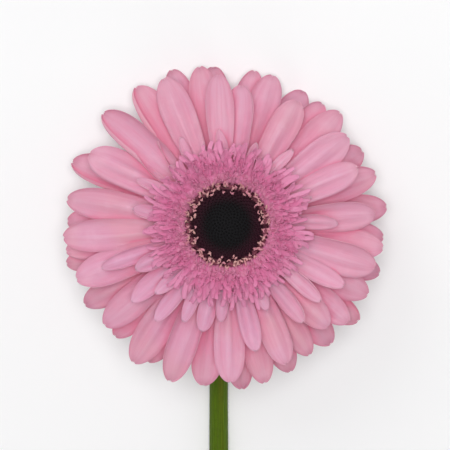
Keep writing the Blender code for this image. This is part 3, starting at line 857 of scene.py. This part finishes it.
n = Nodes("stem_skin", 0.6, Specular_IOR_Level=0.14)
along, around = n.value("along"), n.value("across")
rib = n.maths("SINE", n.maths("MULTIPLY", around, 22.0))
fleck = n.noise(1.0, 4.0, 0.6,
                n.vector(n.maths("MULTIPLY", around, 9.0), n.maths("MULTIPLY", along, 26.0), 0.0))
green = n.mix(n.band(fleck, 0.3, 0.7), linear(66, 90, 6), linear(82, 108, 12))
turn = n.noise(1.0, 1.0, 0.5,
               n.vector(n.maths("SINE", around), n.maths("COSINE", around),
                        n.maths("MULTIPLY", along, 5.0)))
green = n.mix(n.band(turn, 0.42, 0.62, 0.0, 0.7), green, linear(92, 94, 16))
green = n.mix(n.band(rib, 0.2, 1.0, 0.0, 0.25), green, linear(92, 114, 20))
green = n.mix(n.band(along, 0.0, 0.10, 0.35, 0.0), green, linear(92, 112, 26))
green = n.mix(n.band(along, 0.82, 1.0, 0.0, 0.5), green, linear(120, 92, 60))
green = n.mix(n.band(n.noise(700.0), 0.5, 0.8, 0.0, 0.35), green, linear(60, 76, 20))
STEM = n.done(green, n.maths("ADD", rib, n.noise(1600.0)), 0.00012, 0.5)
n = Nodes("stem_cut", 0.6)
away = n.value("radius")
flesh = n.mix(n.band(n.noise(900.0, 5.0), 0.3, 0.7), linear(198, 206, 150), linear(226, 226, 186))
flesh = n.mix(n.band(away, 0.72, 0.95), flesh, linear(120, 142, 60))
flesh = n.mix(n.band(away, 0.9, 1.0), flesh, linear(110, 84, 50))
CUT = n.done(flesh, n.noise(1200.0, 5.0), 0.0003, 0.8)

sides = 40
fine = np.linspace(0, len(line) - 1, (len(line) - 1) * 2 + 1)
path = np.stack([np.interp(fine, np.arange(len(line)), line[:, k]) for k in range(3)], axis=1)
wide = np.interp(fine, np.arange(len(line)), reach)
run = np.gradient(path, axis=0)
run /= np.linalg.norm(run, axis=1, keepdims=True)
share = np.linspace(0, 1, len(path))
angle = np.arange(sides) * 2 * pi / sides
bulge = (1.0 + 0.012 * np.cos(11 * angle)[None, :]
         + 0.012 * np.sin(3 * angle + 1.0)[None, :] * np.cos(share * 14)[:, None])
wander = 1.0 + 0.012 * np.sin(share * 31.0) + 0.010 * np.sin(share * 77.0 + 1.0)
rings = []
for k in range(len(path)):
    across = np.cross(run[k], (1.0, 0.0, 0.0))
    across /= np.linalg.norm(across)
    other = np.cross(across, run[k])
    rad = wide[k] * 0.985 * wander[k] * bulge[k]
    rings.append(path[k] + rad[:, None] * (np.cos(angle)[:, None] * across
                                           + np.sin(angle)[:, None] * other))
skin = np.stack(rings)
faces = []
total = len(path)
for k in range(total - 1):
    for j in range(sides):
        j2 = (j + 1) % sides
        faces.append((k * sides + j, (k + 1) * sides + j, (k + 1) * sides + j2, k * sides + j2))
caps = []
verts = [skin.reshape(-1, 3)]
extra = {"along": [np.repeat(share, sides)], "across": [np.tile(angle, total)],
         "radius": [np.ones(total * sides)]}
offset = total * sides
for end, inward in ((0, run[0]), (total - 1, -run[-1])):
    previous = [end * sides + j for j in range(sides)]
    for ring_share in (0.93, 0.8, 0.55, 0.25):
        ring = (path[end] + (skin[end] - path[end]) * ring_share
                + inward * 0.25 * MM * (1 - ring_share))
        verts.append(ring)
        now = [offset + j for j in range(sides)]
        offset += sides
        for j in range(sides):
            j2 = (j + 1) % sides
            quad = (previous[j], previous[j2], now[j2], now[j])
            caps.append(quad if end == 0 else tuple(reversed(quad)))
        extra["along"].append(np.full(sides, share[end]))
        extra["across"].append(angle)
        extra["radius"].append(np.full(sides, ring_share))
        previous = now
    caps.append(tuple(previous) if end == 0 else tuple(reversed(previous)))
heap = Heap()
heap.add(np.concatenate(verts), faces + caps, [0] * len(faces) + [1] * len(caps),
         **{k: np.concatenate(x) for k, x in extra.items()})
STEM_HAIRS = 2600
rng = np.random.default_rng(21)
for _ in range(STEM_HAIRS):
    k = int(total * rng.random() ** 1.4)
    j = rng.integers(0, sides)
    foot = skin[min(k, total - 1), j]
    out = foot - path[min(k, total - 1)]
    if foot[2] < 1.2 * MM:
        continue
    d = out / np.linalg.norm(out) + rng.normal(0, 0.35, 3)
    hair = foot + np.linspace(0, 1, 3)[:, None] * d * rng.uniform(0.25, 0.6) * MM
    add_tube(heap, hair, np.array((0.03, 0.022, 0.006)) * MM, 3, along=0.05, across=1.0)
heap.make("stem_skin_piece", (STEM, CUT), ("stem",), "stem")

# ---- floor, light, camera -----------------------------------------------------------
me = bpy.data.meshes.new("floor")
HALF = 4  # metres from the middle of the floor to its edge
me.from_pydata([(-HALF, -HALF, 0), (HALF, -HALF, 0), (HALF, HALF, 0), (-HALF, HALF, 0)], [],
               [(0, 1, 2, 3)])
floor = bpy.data.objects.new("floor", me)
bpy.context.scene.collection.objects.link(floor)
n = Nodes("paper_floor", 0.9, Specular_IOR_Level=0.1)
me.materials.append(n.done(n.mix(n.noise(3.0), linear(247, 247, 248), linear(249, 249, 249))))
# far from the lamps the floor glows a little, so that it stays as pale as near them
GLOW_REACH, GLOW = 4.2, 0.6
outward = n.tree.nodes.new("ShaderNodeVectorMath")
outward.operation = "LENGTH"
n.put(outward.inputs[0], n.place)
n.put(n.shader.inputs["Emission Strength"],
      n.band(outward.outputs["Value"], 0.0, GLOW_REACH, 0.0, GLOW))

# a white studio: bright walls low down, a dimmer ceiling
world = bpy.data.worlds.new("studio")
world.use_nodes = True
tree = world.node_tree
way = tree.nodes.new("ShaderNodeTexCoord")
height = tree.nodes.new("ShaderNodeSeparateXYZ")
fade = tree.nodes.new("ShaderNodeMapRange")
fade.interpolation_type = "SMOOTHSTEP"
for k, value in enumerate((0.0, 0.10, 0.42, 0.88, 0.28)):
    fade.inputs[k].default_value = value
tree.links.new(way.outputs["Generated"], height.inputs[0])
tree.links.new(height.outputs[2], fade.inputs[0])
tree.nodes["Background"].inputs["Color"].default_value = (1.0, 1.0, 1.0, 1.0)
tree.links.new(fade.outputs[0], tree.nodes["Background"].inputs["Strength"])
bpy.context.scene.world = world

CENTRE = Vector(from_head((-0.7 * MM, 0.0, 0.0)))
AXIS, SIDE, TOP = Vector(FACE), Vector(BASIS[0]), Vector(BASIS[1])


def area(name, place, aim, size, power):
    lamp = bpy.data.lights.new(name, "AREA")
    lamp.shape = "DISK"
    lamp.size = size
    lamp.energy = power
    obj = bpy.data.objects.new(name, lamp)
    obj.location = place
    obj.rotation_euler = (aim - place).to_track_quat("-Z", "Y").to_euler()
    bpy.context.scene.collection.objects.link(obj)


# name, place from the head's middle, disk width in metres, power in watts
area("front", CENTRE + AXIS * 3.0, CENTRE, 1.2, 61.0)
area("key", CENTRE + AXIS * 2.6 - SIDE * 1.1 + TOP * 1.1, CENTRE, 1.4, 13.5)
area("fill", CENTRE + Vector((0.9, -2.4, 0.55)), CENTRE, 1.2, 8.5)  # low, for the back of the head

DISTANCE, SENSOR = 1.0, 36.0
PICTURE_WIDTH = 0.1525  # metres across the picture at the flower's face
camera = bpy.data.cameras.new("camera")
camera.sensor_width = SENSOR
camera.lens = SENSOR * DISTANCE / PICTURE_WIDTH
camera.clip_end = 20.0
view = bpy.data.objects.new("camera", camera)
bpy.context.scene.collection.objects.link(view)
eye = Matrix((SIDE, TOP, AXIS)).transposed().to_4x4()
eye.translation = CENTRE + AXIS * DISTANCE
view.matrix_world = eye
bpy.context.scene.camera = view
bpy.context.scene.view_settings.view_transform = "Standard"
